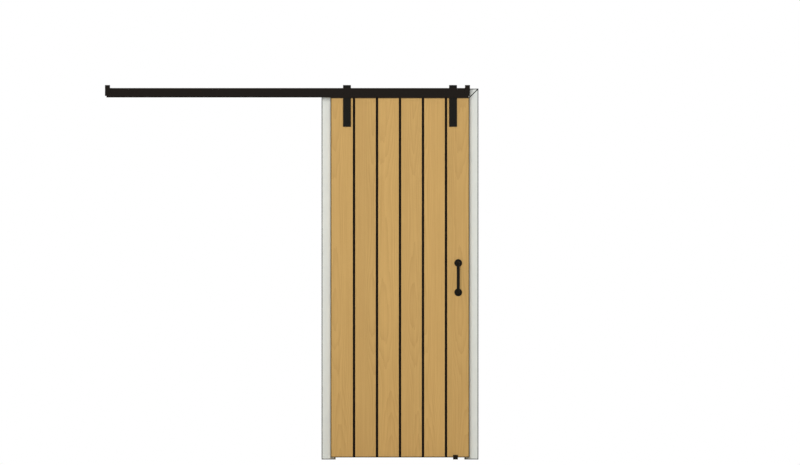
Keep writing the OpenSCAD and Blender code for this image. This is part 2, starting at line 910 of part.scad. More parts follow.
// Half section of a sealed ball bearing
module bearing_section() {
    inner = axle_d / 2 + axle_gap;
    outer = bearing_d / 2;
    half = bearing_w / 2;
    seal = half - seal_depth;
    polygon([
        [inner, -half], [inner + bearing_ring, -half], [inner + bearing_ring, -seal],
        [outer - bearing_ring, -seal], [outer - bearing_ring, -half], [outer, -half],
        [outer, half], [outer - bearing_ring, half], [outer - bearing_ring, seal],
        [inner + bearing_ring, seal], [inner + bearing_ring, half], [inner, half]
    ]);
}

module bearing(side) {
    color(zinc) on_axle(side, wheel_y) rotate_extrude() bearing_section();
}

// Pull handle

// Upper half of the grip: half of the straight, one bend and the post to its rose
module grip_half() {
    straight = handle_half - grip_bend;
    cylinder(d = grip_d, h = straight);
    translate([0, grip_bend, straight]) rotate([90, 0, -90])
        rotate_extrude(angle = 90) translate([grip_bend, 0]) circle(d = grip_d);
    along_y(0, grip_bend, handle_half) cylinder(d = grip_d, h = rose_face_y - grip_y - grip_bend);
}

module handle_grip() {
    color(black_steel) difference() {
        translate([handle_x, grip_y, handle_z]) {
            grip_half();
            mirror([0, 0, 1]) grip_half();
        }
        for (z = handle_zs) {
            rod_y(handle_x, z, rose_face_y - handle_bolt_bite - seat_gap, rose_face_y + over,
                  handle_bolt_d + 2 * axle_gap);
        }
    }
}

// Round rose under one end of the grip, with a rounded rim
module handle_rose(z) {
    r = rose_d / 2;
    bolt_r = handle_bolt_d / 2 + hole_gap;
    color(black_steel) along_y(handle_x, rose_face_y, z) rotate_extrude() {
        translate([bolt_r, 0]) square([r - rose_round - bolt_r, rose_t]);
        translate([bolt_r, rose_round]) square([r - bolt_r, rose_t - rose_round]);
        intersection() {
            translate([r - rose_round, rose_round]) circle(rose_round);
            square([r, rose_t]);
        }
    }
}

module handle_bolts() {
    shank = handle_head_y - rose_face_y + handle_bolt_bite;
    color(zinc) for (z = handle_zs) {
        rod_y(handle_x, z, handle_head_y, handle_head_y + handle_head_h, handle_head_d);
        rod_y(handle_x, z, handle_head_y - shank, handle_head_y, handle_bolt_d);
    }
}

module handle_washers() {
    color(zinc) for (z = handle_zs) {
        along_y(handle_x, handle_washer_y, z)
            ring(handle_washer_d, handle_bolt_d + 2 * hole_gap, handle_washer_t);
    }
}

// Assembly

jamb_leg(-1);  // jamb_left
jamb_leg(1);  // jamb_right
jamb_head();
frame_screws();
front_casing_leg(-1);  // front_casing_left
front_casing_leg(1);  // front_casing_right
front_casing_head();
rear_casing_leg(-1);  // rear_casing_left
rear_casing_leg(1);  // rear_casing_right
rear_casing_head();
running_rail();
rail_spacers(casing_xs, -casing_t);  // casing_spacers
rail_spacers(wall_xs, 0);  // wall_spacers
rail_screws();
cover_bar();
end_stop(-1, track_left);  // end_stop_left
end_stop(1, track_right);  // end_stop_right
bumper(-1, track_left);  // bumper_left
bumper(1, track_right);  // bumper_right
stop_set_screws();
floor_guide();
guide_pads();
for (i = [1 : board_count]) {
    board(i);
}
for (i = [1 : board_count - 1]) {
    spline(i);
}
ledge_top();
ledge_middle();
ledge_bottom();
ledge_screws();
hanger_strap(-1);  // hanger_strap_left
hanger_strap(1);  // hanger_strap_right
strap_bolts();
strap_washers();
strap_nuts();
axle(-1);  // axle_left
axle(1);  // axle_right
axle_sleeves(-1);  // axle_sleeves_left
axle_sleeves(1);  // axle_sleeves_right
axle_nut(-1);  // axle_nut_left
axle_nut(1);  // axle_nut_right
wheel(-1);  // wheel_left
wheel(1);  // wheel_right
bearing(-1);  // bearing_left
bearing(1);  // bearing_right
handle_grip();
handle_rose(handle_zs[1]);  // handle_rose_top
handle_rose(handle_zs[0]);  // handle_rose_bottom
handle_bolts();
handle_washers();
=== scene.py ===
"""Looks of the sliding barn door: finishes, small fasteners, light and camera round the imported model."""

import math

import bmesh
import bpy
from mathutils import Matrix, Vector


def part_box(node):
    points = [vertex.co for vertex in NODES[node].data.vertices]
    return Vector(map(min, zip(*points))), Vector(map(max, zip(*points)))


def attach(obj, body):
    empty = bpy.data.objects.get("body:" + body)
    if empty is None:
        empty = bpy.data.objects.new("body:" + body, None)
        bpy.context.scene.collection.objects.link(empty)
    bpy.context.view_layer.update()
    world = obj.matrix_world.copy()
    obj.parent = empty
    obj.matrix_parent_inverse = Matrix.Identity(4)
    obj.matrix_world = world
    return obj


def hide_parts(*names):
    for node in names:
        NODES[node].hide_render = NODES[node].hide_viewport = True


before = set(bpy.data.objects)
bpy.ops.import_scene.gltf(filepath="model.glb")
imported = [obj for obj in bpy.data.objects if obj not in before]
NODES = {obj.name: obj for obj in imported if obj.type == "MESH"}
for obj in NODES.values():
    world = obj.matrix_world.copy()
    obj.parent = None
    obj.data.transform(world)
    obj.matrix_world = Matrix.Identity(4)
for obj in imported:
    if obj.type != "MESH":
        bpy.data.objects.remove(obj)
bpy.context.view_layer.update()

# Picture: the front is seen square on, with no perspective
PICTURE_W = 800
PICTURE_H = 465
METRES_PER_PIXEL = 0.005928
FLOOR_ROW = 459.5
CAMERA_BACK = 8.0
CAMERA_REACH = 60.0

# Colours as they appear on screen, red, green and blue from 0 to 255
TIMBER = (194, 156, 93)
LEDGE = (184, 145, 90)
PAINT = (222, 226, 221)
TRACK_BLACK = (25, 20, 16)
HANGER_BLACK = (23, 22, 19)
STAIN = (9, 8, 7)
# Painted shade of the casing's open mitres
MITRE_SHADE_COLOUR = (22, 21, 20)
ZINC = (172, 176, 180)
NYLON = (58, 55, 52)
RUBBER = (26, 26, 26)
FELT = (88, 85, 80)
SEAL = (24, 24, 25)
FLOOR = (236, 236, 234)
WHITE = (1, 1, 1, 1)

# Tone of each board and ledge against its colour, and where the heart of its tree lay, in metres
BOARD_TONES = (1.0, 0.965, 1.025, 0.985, 1.035, 0.975)
BOARD_HEARTS = ((0.03, 0.10), (-0.05, 0.07), (0.01, 0.13), (-0.02, 0.08), (0.06, 0.09), (-0.03, 0.12))
LEDGE_TONES = (1.0, 0.97, 1.03)
LEDGE_HEARTS = ((0.02, -0.09), (-0.04, -0.11), (0.03, -0.08))

# Growth rings: their width, how far the trunk wavers, how many rings they stray, how late they darken
RING_WIDTH = 0.0042
TRUNK_WAVER = (0.16, 0.16, 0.0)
RING_STRAY = 1.4
LATE_WOOD_POWER = 2.2

# Shades of the grain: what each mark adds to it, and the tones that it runs between
EARLY_WOOD = 0.16
LATE_WOOD = 0.34
STREAK_SWING = 0.95
FIBRE_SWING = 0.35
BLOTCH_SWING = 0.45
LIGHT_GRAIN = 1.10
DARK_GRAIN = 0.80
DARK_TINT = (1.02, 0.95, 0.84, 1.0)
LATE_WOOD_SINK = 0.5

# Long marks: waves per metre, in X, Y and Z, and for timber across, through and along its board
WAVER_WAVES = (1.6, 1.6, 0.55)
STRAY_WAVES = (40, 40, 2.0)
STREAK_WAVES = (120, 120, 1.6)
FIBRE_WAVES = (900, 900, 14)
BLOTCH_WAVES = (5, 5, 1.2)
STAIN_WAVES = (300, 300, 5)
UPRIGHT_STROKES = (220, 220, 3)
LEVEL_STROKES = (3, 220, 220)
FELT_WAVES = (700, 300, 500)

# Depth of the relief of each finish, in metres, and the pitch of a lathe's marks
GRAIN_DEPTH = 0.00025
STAIN_DEPTH = 0.0002
STROKE_DEPTH = 0.00025
PEBBLE_DEPTH = 0.00008
SCRATCH_DEPTH = 0.00004
TURNED_DEPTH = 0.00004
TURNED_PITCH = 0.0006
RUBBER_DEPTH = 0.0001
FELT_DEPTH = 0.0006

# Rubbed edges of black steel: their reach, and how open the solid is where they start and are full
EDGE_REACH = 0.0015
EDGE_START = 0.94
EDGE_FULL = 0.82
EDGE_SAMPLES = 8

# Dark front arrises: their width on casing and leaf, their width along grooves, fade and shade
ARRIS_WIDTH = 0.005
GROOVE_ARRIS_WIDTH = 0.0012
ARRIS_FADE = 0.0006
ARRIS_SHADE = 0.10

# Painted shade along an open mitre: where it is darkest, and where it ends
MITRE_DARK = 0.0032
MITRE_EDGE = 0.0042

# Bearing: radius of its bore, width of its steel rings, and how much rougher the seal between them is
BEARING_BORE_R = 0.00505
BEARING_RING = 0.0025
SEAL_ROUGHER = 0.35

# Fasteners, in metres: heads and shanks as the solids have them, threads and sockets as made here
LEDGE_SCREW_HEAD_D = 0.010
LEDGE_SCREW_D = 0.005
FRAME_SCREW_HEAD_D = 0.009
FRAME_SCREW_D = 0.0045
BOLT_FLATS = 0.017
BOLT_HEAD_H = 0.006
BOLT_D = 0.010
AXLE_HEAD_H = 0.005
AXLE_THREAD_D = 0.0088
AXLE_PITCH = 0.0015
AXLE_THREAD_L = 0.010
LAG_FLATS = 0.013
LAG_HEAD_H = 0.005
LAG_D = 0.008
LAG_CORE_D = 0.0062
LAG_PITCH = 0.0034
LAG_THREAD_L = 0.046
PAN_HEAD_H = 0.004
PAN_KEY = 0.005
PAN_SHANK_D = 0.006

# A thread's ridge: place of its foot on the core, half its width in pitches, least share at the point
THREAD_FOOT = 0.96
THREAD_HALF_WIDTH = 0.42
THREAD_LEAST = 0.2

# Meshes: points round a turned form and a thread, sharp angle in degrees, least length, sorting digits
TURN_STEPS = 48
THREAD_STEPS = 24
SHARP_ANGLE = 28
SMALLEST = 1e-6
ORDER_DIGITS = 4

# Light: strength of the surround, size of the floor, its drop below the part, its share of white
SURROUND = 0.24
FLOOR_SIZE = 40
FLOOR_DROP = 0.0005
FLOOR_WHITE = 0.7

# Lamps: place and width in metres, power in watts, all turned towards one point
LAMP_AIM = (-0.3, 0.0, 1.1)
LAMPS = {
    "key": ((-0.4, -7.0, 3.2), 2.5, 266),
    "fill_right": ((4.2, -4.5, 2.2), 3.5, 20),
    "fill_left": ((-4.8, -4.5, 2.2), 3.5, 20),
    "back": ((1.5, 5.5, 4.5), 4.0, 190),
    "right": ((6.0, 1.2, 2.4), 2.0, 70),
    "left": ((-6.6, 1.2, 2.4), 2.0, 70),
}


def linear(colour, factor=1.0):
    """Screen colour to the linear values that the shaders take, with an alpha of 1."""
    parts = [value / 255 for value in colour]
    parts = [p / 12.92 if p <= 0.04045 else ((p + 0.055) / 1.055) ** 2.4 for p in parts]
    return (*[min(1.0, p * factor) for p in parts], 1.0)


def node_middle(name):
    """Middle of a CAD node's box."""
    low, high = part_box(name)
    return (low + high) / 2


class Graph:
    """One material's node tree, with short calls for the nodes that the finishes share."""

    # A Mix node has sockets for numbers and vectors too; these are the ones for colours
    MIX_FACTOR = 0
    MIX_FIRST = 6
    MIX_SECOND = 7
    MIX_RESULT = 2

    def __init__(self, name):
        self.material = bpy.data.materials.new(name)
        self.material.use_nodes = True
        self.tree = self.material.node_tree
        self.shader = self.tree.nodes["Principled BSDF"]

    def put(self, socket, value):
        """Links a socket to another one, or sets its own number or colour."""
        if isinstance(value, bpy.types.NodeSocket):
            self.tree.links.new(value, socket)
        else:
            socket.default_value = value

    def node(self, kind, inputs=None, **settings):
        made = self.tree.nodes.new("ShaderNode" + kind)
        for key, value in settings.items():
            setattr(made, key, value)
        for key, value in (inputs or {}).items():
            self.put(made.inputs[key], value)
        return made

    def surface(self, **values):
        """Sets the shader's sockets, with spaces for underscores in their names."""
        for key, value in values.items():
            self.put(self.shader.inputs[key.replace("_", " ")], value)

    def place(self, move=(0, 0, 0), turn=(0, 0, 0), stretch=(1, 1, 1)):
        """Coordinates on the piece itself, in metres, moved, turned and stretched."""
        own = self.node("TexCoord").outputs["Object"]
        inputs = {"Vector": own, "Location": move, "Rotation": turn, "Scale": stretch}
        return self.node("Mapping", inputs).outputs[0]

    def stretched(self, vector, stretch):
        return self.node("Mapping", {"Vector": vector, "Scale": stretch}).outputs[0]

    def noise(self, vector, scale=1.0, detail=3.0, roughness=0.5, output="Fac"):
        inputs = {"Vector": vector, "Scale": scale, "Detail": detail, "Roughness": roughness}
        return self.node("TexNoise", inputs).outputs[output]

    def math(self, operation, a, b=0.0, c=0.0, clamp=False):
        return self.node("Math", {0: a, 1: b, 2: c}, operation=operation, use_clamp=clamp).outputs[0]

    def vector(self, operation, a, b):
        return self.node("VectorMath", {0: a, 1: b}, operation=operation).outputs[0]

    def length(self, vector):
        return self.node("VectorMath", {0: vector}, operation="LENGTH").outputs["Value"]

    def separate(self, vector):
        return self.node("SeparateXYZ", {0: vector}).outputs

    def centred(self, value, gain):
        """A value about 0.5, brought to swing about 0 by the given gain."""
        return self.math("MULTIPLY_ADD", value, gain, -0.5 * gain)

    def mix(self, factor, first, second):
        inputs = {self.MIX_FACTOR: factor, self.MIX_FIRST: first, self.MIX_SECOND: second}
        return self.node("Mix", inputs, data_type="RGBA").outputs[self.MIX_RESULT]

    def between(self, value, low, high):
        """A value from 0 to 1 carried to a range."""
        return self.node("MapRange", {"Value": value, "To Min": low, "To Max": high}).outputs[0]

    def fade(self, value, start, full):
        """A mask that is 0 where a value is at its start and 1 where it is full."""
        return self.node("MapRange", {"Value": value, "From Min": start, "From Max": full}).outputs[0]

    def bump(self, height, distance, strength):
        made = self.node("Bump", {"Height": height, "Distance": distance, "Strength": strength})
        self.put(self.shader.inputs["Normal"], made.outputs[0])


def front_arris(g, low, high, width):
    """A mask along the front arrises of a box, a little uneven, where the finish is dark."""
    own = g.place()
    across, back, up = g.separate(own)
    from_left = g.math("SUBTRACT", across, low.x)
    from_right = g.math("SUBTRACT", high.x, across)
    from_foot = g.math("SUBTRACT", up, low.z)
    from_top = g.math("SUBTRACT", high.z, up)
    from_sides = g.math("MINIMUM", from_left, from_right)
    from_ends = g.math("MINIMUM", from_foot, from_top)
    from_front = g.math("SUBTRACT", back, low.y)
    away = g.math("MAXIMUM", from_front, g.math("MINIMUM", from_sides, from_ends))
    uneven = g.centred(g.noise(own, scale=60.0), 2 * ARRIS_FADE)
    return g.fade(g.math("ADD", away, uneven), start=width + ARRIS_FADE, full=width)


def painted_mitre_shade(g):
    """A mask along the casing's mitres, where the shade of the open joint is painted dark."""
    corner_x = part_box("front_casing_right")[0].x
    corner_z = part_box("front_casing_head")[0].z
    across, _, up = g.separate(g.place())
    out = g.math("SUBTRACT", g.math("ABSOLUTE", across), corner_x)
    above = g.math("SUBTRACT", up, corner_z)
    away = g.math("ABSOLUTE", g.math("SUBTRACT", out, above))
    return g.fade(away, start=MITRE_EDGE, full=MITRE_DARK)


def rubbed_edges(g):
    """A mask that rises towards outward edges, where little of the solid lies within reach."""
    reach = {"Distance": EDGE_REACH}
    inner = g.node("AmbientOcclusion", reach, samples=EDGE_SAMPLES, inside=True, only_local=True)
    return g.fade(inner.outputs["AO"], start=EDGE_START, full=EDGE_FULL)


def axle_radius(g, node):
    """Distance from the axle that runs along Y through the middle of a node."""
    middle = node_middle(node)
    own = g.place(move=(-middle.x, 0.0, -middle.z))
    return g.length(g.vector("MULTIPLY", own, (1.0, 0.0, 1.0)))


def timber(name, colour, tone, centre, heart, along_x=False, rims=()):
    """Sawn board: rings round the heart of its tree, streaks and fibres along it, dark front rims."""
    g = Graph(name)
    turn = (0, -math.pi / 2, 0) if along_x else (0, 0, 0)
    seen = (-centre.z, centre.y, centre.x) if along_x else tuple(centre)
    own = g.place(move=(heart[0] - seen[0], heart[1] - seen[1], 0.0), turn=turn)
    waver = g.noise(g.stretched(own, WAVER_WAVES), detail=1.5, output="Color")
    waver = g.vector("SUBTRACT", waver, (0.5, 0.5, 0.5))
    bent = g.vector("ADD", own, g.vector("MULTIPLY", waver, TRUNK_WAVER))
    radius = g.length(g.vector("MULTIPLY", bent, (1.0, 1.0, 0.0)))
    stray = g.math("MULTIPLY", g.noise(g.stretched(own, STRAY_WAVES), detail=2.0), RING_STRAY)
    rings = g.math("ADD", g.math("DIVIDE", radius, RING_WIDTH), stray)
    late = g.math("POWER", g.math("FRACT", rings), LATE_WOOD_POWER)
    streak = g.noise(g.stretched(own, STREAK_WAVES), detail=5.0, roughness=0.6)
    fibre = g.noise(g.stretched(own, FIBRE_WAVES), detail=2.0)
    blotch = g.noise(g.stretched(own, BLOTCH_WAVES), detail=2.0)
    shade = g.math("MULTIPLY_ADD", late, LATE_WOOD, EARLY_WOOD)
    shade = g.math("ADD", shade, g.centred(streak, STREAK_SWING))
    shade = g.math("ADD", shade, g.centred(fibre, FIBRE_SWING))
    shade = g.math("ADD", shade, g.centred(blotch, BLOTCH_SWING), clamp=True)
    light = linear(colour, LIGHT_GRAIN * tone)
    dark = tuple(part * tint for part, tint in zip(linear(colour, DARK_GRAIN * tone), DARK_TINT))
    grain = g.mix(shade, light, dark)
    for box, width in rims:
        grain = g.mix(front_arris(g, *box, width), grain, linear(colour, ARRIS_SHADE))
    g.surface(
        Base_Color=grain,
        Roughness=g.between(fibre, low=0.52, high=0.72),
        Specular_IOR_Level=0.22,
    )
    relief = g.math("ADD", g.math("MULTIPLY", late, -LATE_WOOD_SINK), fibre)
    g.bump(relief, GRAIN_DEPTH, strength=0.5)
    return g.material


def stained(name):
    """Black-stained spline with its grain just showing."""
    g = Graph(name)
    grain = g.noise(g.place(stretch=STAIN_WAVES))
    g.surface(
        Base_Color=g.mix(grain, linear(STAIN, 0.5), linear(STAIN, 1.6)),
        Roughness=g.between(grain, low=0.7, high=0.9),
        Specular_IOR_Level=0.1,
    )
    g.bump(grain, STAIN_DEPTH, strength=0.5)
    return g.material


def painted(name, stretch, mitred=False, face=None):
    """Satin paint brushed along the piece, with painted shade in its mitres, and dark round the front of a
    given box.
    """
    g = Graph(name)
    strokes = g.noise(g.place(stretch=stretch), detail=4.0, roughness=0.6)
    mottle = g.noise(g.place(), scale=7.0)
    tone = g.mix(mottle, linear(PAINT, 0.965), linear(PAINT, 1.035))
    if face:
        tone = g.mix(front_arris(g, *face, ARRIS_WIDTH), tone, linear(PAINT, ARRIS_SHADE))
    # Painted shade in the open mitre joints
    if mitred:
        tone = g.mix(painted_mitre_shade(g), tone, linear(MITRE_SHADE_COLOUR))
    g.surface(
        Base_Color=tone,
        Roughness=g.between(strokes, low=0.38, high=0.56),
        Specular_IOR_Level=0.3,
    )
    g.bump(strokes, STROKE_DEPTH, strength=0.45)
    return g.material


def powder_coat(name, colour):
    """Black powder coat: a fine pebbled skin, rubbed a little lighter on its edges."""
    g = Graph(name)
    own = g.place()
    pebble = g.noise(own, scale=1400.0, detail=2.0)
    cloud = g.noise(own, scale=14.0)
    rubbed = g.math("MULTIPLY", rubbed_edges(g), g.noise(own, scale=90.0, detail=4.0))
    tone = g.mix(cloud, linear(colour, 0.75), linear(colour, 1.3))
    g.surface(
        Base_Color=g.mix(rubbed, tone, linear(colour, 4.5)),
        Roughness=g.between(cloud, low=0.5, high=0.66),
        Specular_IOR_Level=0.05,
    )
    g.bump(pebble, PEBBLE_DEPTH, strength=0.5)
    return g.material


def zinc(name):
    """Zinc-plated steel, slightly mottled."""
    g = Graph(name)
    own = g.place()
    mottle = g.noise(own, scale=220.0, detail=4.0)
    scratch = g.noise(own, scale=1600.0, detail=2.0)
    g.surface(
        Base_Color=g.mix(mottle, linear(ZINC, 0.75), linear(ZINC, 1.1)),
        Roughness=g.between(mottle, low=0.28, high=0.5),
        Metallic=1.0,
    )
    g.bump(scratch, SCRATCH_DEPTH, strength=0.4)
    return g.material


def nylon(name, node):
    """Turned nylon wheel with faint tool marks round its axle."""
    g = Graph(name)
    marks = g.math("SINE", g.math("MULTIPLY", axle_radius(g, node), math.tau / TURNED_PITCH))
    cloud = g.noise(g.place(), scale=120.0)
    g.surface(
        Base_Color=g.mix(cloud, linear(NYLON, 0.8), linear(NYLON, 1.25)),
        Roughness=g.between(cloud, low=0.35, high=0.5),
        Specular_IOR_Level=0.35,
    )
    g.bump(marks, TURNED_DEPTH, strength=0.6)
    return g.material


def bearing(name, node):
    """Sealed bearing: ground steel rings with a dark seal between them."""
    g = Graph(name)
    low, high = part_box(node)
    outer_r = (high.x - low.x) / 2
    radius = axle_radius(g, node)
    past_inner_ring = g.math("GREATER_THAN", radius, BEARING_BORE_R + BEARING_RING)
    within_outer_ring = g.math("LESS_THAN", radius, outer_r - BEARING_RING)
    seal = g.math("MULTIPLY", past_inner_ring, within_outer_ring)
    cloud = g.noise(g.place(), scale=300.0)
    steel = g.mix(cloud, linear(ZINC, 0.85), linear(ZINC, 1.15))
    g.surface(
        Base_Color=g.mix(seal, steel, linear(SEAL)),
        Metallic=g.math("SUBTRACT", 1.0, seal),
        Roughness=g.math("MULTIPLY_ADD", seal, SEAL_ROUGHER, g.between(cloud, low=0.2, high=0.3)),
    )
    return g.material


def rubber(name):
    """Moulded rubber with a dusty bloom."""
    g = Graph(name)
    own = g.place()
    bloom = g.noise(own, scale=130.0, detail=4.0)
    g.surface(
        Base_Color=g.mix(bloom, linear(RUBBER, 0.8), linear(RUBBER, 1.6)),
        Roughness=g.between(bloom, low=0.7, high=0.9),
        Specular_IOR_Level=0.25,
    )
    g.bump(g.noise(own, scale=900.0, detail=2.0), RUBBER_DEPTH, strength=0.4)
    return g.material


def felt(name):
    """Pressed felt with loose fibres."""
    g = Graph(name)
    fibre = g.noise(g.place(stretch=FELT_WAVES), detail=5.0, roughness=0.7)
    g.surface(
        Base_Color=g.mix(fibre, linear(FELT, 0.6), linear(FELT, 1.4)),
        Roughness=g.between(fibre, low=0.85, high=1.0),
        Specular_IOR_Level=0.1,
    )
    g.bump(fibre, FELT_DEPTH, strength=0.6)
    return g.material


def finish(material, *names):
    """Puts one material on CAD nodes."""
    for name in names:
        mesh = NODES[name].data
        mesh.materials.clear()
        mesh.materials.append(material)


# Finishes of the solids

LEAF = (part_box("board_1")[0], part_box(f"board_{len(BOARD_TONES)}")[1])
for index, (tone, heart) in enumerate(zip(BOARD_TONES, BOARD_HEARTS), start=1):
    board = f"board_{index}"
    rims = ((LEAF, ARRIS_WIDTH), (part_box(board), GROOVE_ARRIS_WIDTH))
    finish(timber(f"timber_{board}", TIMBER, tone, node_middle(board), heart, rims=rims), board)

for ledge, tone, heart in zip(("top", "middle", "bottom"), LEDGE_TONES, LEDGE_HEARTS):
    name = f"ledge_{ledge}"
    finish(timber(f"timber_{name}", LEDGE, tone, node_middle(name), heart, along_x=True), name)

finish(stained("stained_spline"), *[f"spline_{index}" for index in range(1, len(BOARD_TONES))])

finish(painted("jamb_paint_upright", UPRIGHT_STROKES), "jamb_left", "jamb_right")
finish(painted("jamb_paint_level", LEVEL_STROKES), "jamb_head")
for side, strokes in (("left", UPRIGHT_STROKES), ("right", UPRIGHT_STROKES), ("head", LEVEL_STROKES)):
    front = f"front_casing_{side}"
    finish(painted(f"{front}_paint", strokes, mitred=True, face=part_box(front)), front)
    rear = f"rear_casing_{side}"
    finish(painted(f"{rear}_paint", strokes, mitred=True), rear)

track_black = powder_coat("track_black", TRACK_BLACK)
finish(track_black, "running_rail", "cover_bar", "casing_spacers", "wall_spacers")
finish(track_black, "end_stop_left", "end_stop_right", "floor_guide")
hanger_black = powder_coat("hanger_black", HANGER_BLACK)
finish(hanger_black, "hanger_strap_left", "hanger_strap_right")
finish(hanger_black, "handle_grip", "handle_rose_top", "handle_rose_bottom")

plated = zinc("zinc_plate")
finish(plated, "stop_set_screws", "strap_washers", "handle_washers")
for side in ("left", "right"):
    finish(plated, f"axle_sleeves_{side}")
    finish(nylon(f"nylon_{side}", f"wheel_{side}"), f"wheel_{side}")
    finish(bearing(f"bearing_steel_{side}", f"bearing_{side}"), f"bearing_{side}")

finish(rubber("bumper_rubber"), "bumper_left", "bumper_right")
finish(felt("guide_felt"), "guide_pads")


# Small fasteners, made as turned meshes with their recesses, chamfers and threads

ALONG_Y = Matrix.Rotation(-math.pi / 2, 4, "X")
AGAINST_Y = Matrix.Rotation(math.pi / 2, 4, "X")
ALONG_X = Matrix.Rotation(math.pi / 2, 4, "Y")
AGAINST_X = Matrix.Rotation(-math.pi / 2, 4, "Y")


def solids(name):
    """Lowest and highest corner of each separate solid in a CAD node, in a fixed order."""
    mesh = bmesh.new()
    mesh.from_mesh(NODES[name].data)
    bmesh.ops.remove_doubles(mesh, verts=mesh.verts, dist=SMALLEST)
    left = set(mesh.verts)
    boxes = []
    while left:
        group = {left.pop()}
        rim = set(group)
        while rim:
            rim = {e.other_vert(v) for v in rim for e in v.link_edges} & left
            left -= rim
            group |= rim
        low = Vector([min(v.co[k] for v in group) for k in range(3)])
        high = Vector([max(v.co[k] for v in group) for k in range(3)])
        boxes.append((low, high))
    mesh.free()
    return sorted(boxes, key=lambda box: tuple(round(c, ORDER_DIGITS) for c in box[0]))


def circle(radius):
    return lambda angle: radius


def hexagon(flats):
    """Radius of a hexagon at an angle, by its width across the flats."""
    return lambda angle: flats / 2 / math.cos((angle % (math.pi / 3)) - math.pi / 6)


def capped(shape, limit):
    """A shape cut back to a circle."""
    return lambda angle: min(shape(angle), limit)


def cross(length, half_width):
    """Radius of a plus-shaped recess at an angle."""
    def arm(along, aside):
        return min(length / max(abs(along), SMALLEST), half_width / max(abs(aside), SMALLEST))

    def radius(angle):
        x = math.cos(angle)
        y = math.sin(angle)
        return max(arm(x, y), arm(y, x))

    return radius


def on_ring(radius, angle, height):
    """Point at a radius and an angle round the Z axis."""
    return Vector((radius * math.cos(angle), radius * math.sin(angle), height))


def turned(mesh, matrix, rings, tube=False):
    """Adds a closed form of (shape, height) rings joined in turn, with capped ends or as a tube."""
    rows = []
    for shape, height in rings:
        row = []
        for step in range(TURN_STEPS):
            angle = math.tau * step / TURN_STEPS
            row.append(mesh.verts.new(matrix @ on_ring(shape(angle), angle, height)))
        rows.append(row)
    if tube:
        rows.append(rows[0])
    for lower, upper in zip(rows, rows[1:]):
        for step in range(TURN_STEPS):
            after = (step + 1) % TURN_STEPS
            mesh.faces.new((lower[step], lower[after], upper[after], upper[step]))
    if not tube:
        mesh.faces.new(list(reversed(rows[0])))
        mesh.faces.new(rows[-1])


def thread(mesh, matrix, core_d, crest_d, pitch, start, end, taper=0.0):
    """Adds one ridge wound round a shank from start to end, drawn in over a taper before its end."""
    foot_d = core_d * THREAD_FOOT
    profile = ((foot_d, -THREAD_HALF_WIDTH), (crest_d, 0.0), (foot_d, THREAD_HALF_WIDTH))
    steps = int((end - start) / pitch * THREAD_STEPS)
    before = None
    first = None
    for step in range(steps + 1):
        angle = math.tau * step / THREAD_STEPS
        height = start + pitch * step / THREAD_STEPS
        share = min(1.0, (end - height) / taper) if taper else 1.0
        row = []
        for d, shift in profile:
            r = d / 2 * max(THREAD_LEAST, share)
            row.append(mesh.verts.new(matrix @ on_ring(r, angle, height + shift * pitch)))
        if before:
            for k in range(len(profile)):
                after = (k + 1) % len(profile)
                mesh.faces.new((before[k], before[after], row[after], row[k]))
        first = first or row
        before = row
    mesh.faces.new(list(reversed(first)))
    mesh.faces.new(before)


def piece(name, mesh, material, body):
    """Makes the object that stands for the CAD node of the same name and rides on its body."""
    bmesh.ops.recalc_face_normals(mesh, faces=mesh.faces)
    for face in mesh.faces:
        face.smooth = True
    data = bpy.data.meshes.new(f"{name}_made")
    mesh.to_mesh(data)
    mesh.free()
    data.set_sharp_from_angle(angle=math.radians(SHARP_ANGLE))
    data.materials.append(material)
    made = bpy.data.objects.new(f"{name}_made", data)
    bpy.context.scene.collection.objects.link(made)
    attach(made, body)
    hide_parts(name)


def countersunk(mesh, matrix, head_d, d, length):
    """Countersunk screw with a cross recess: its head at 0, its point along +Z."""
    r = head_d / 2
    turned(mesh, matrix, [
        (cross(0.38 * r, 0.10 * r), 0.36 * r),
        (cross(0.60 * r, 0.17 * r), 0.0),
        (circle(0.95 * r), 0.0),
        (circle(0.97 * r), 0.03 * r),
        (circle(d / 2), r - d / 2),
        (circle(d / 2), length - d),
        (circle(d / 8), length),
    ])


def hex_headed(mesh, matrix, flats, head_h, d, length, point=0.0):
    """Hexagon-headed bolt: its chamfered head below 0, its shank along +Z, blunt or pointed."""
    shape = hexagon(flats)
    inner = flats / 2
    chamfer = 0.08 * d
    turned(mesh, matrix, [
        (circle(0.92 * inner), -head_h),
        (capped(shape, 1.02 * inner), -0.88 * head_h),
        (capped(shape, 1.09 * inner), -0.74 * head_h),
        (shape, -0.58 * head_h),
        (shape, 0.0),
        (circle(d / 2), 0.0),
        (circle(d / 2), length - (point or chamfer)),
        (circle(d / 8 if point else d / 2 - chamfer), length),
    ])


def hex_nut(mesh, matrix, flats, height, d):
    """Nut with both faces chamfered."""
    shape = hexagon(flats)
    inner = flats / 2
    turned(mesh, matrix, [
        (circle(0.95 * inner), 0.0),
        (capped(shape, 1.05 * inner), 0.08 * height),
        (shape, 0.22 * height),
        (shape, 0.78 * height),
        (capped(shape, 1.05 * inner), 0.92 * height),
        (circle(0.95 * inner), height),
        (circle(0.57 * d), height),
        (circle(0.51 * d), 0.94 * height),
        (circle(0.51 * d), 0.0),
    ], tube=True)


def socket_headed(mesh, matrix, head_d, head_h, key, d, length):
    """Low round-headed bolt with a hexagon socket: its head's face at 0, its shank along +Z."""
    r = head_d / 2
    turned(mesh, matrix, [
        (hexagon(key), 0.6 * head_h),
        (hexagon(key), 0.0),
        (circle(0.80 * r), 0.0),
        (circle(0.94 * r), 0.10 * head_h),
        (circle(r), 0.35 * head_h),
        (circle(r), head_h),
        (circle(d / 2), head_h),
        (circle(d / 2), length - 0.1 * d),
        (circle(0.4 * d), length),
    ])


def middle_xz(low, high, y):
    """Point on a solid's axis along Y."""
    return Matrix.Translation(((low.x + high.x) / 2, y, (low.z + high.z) / 2))


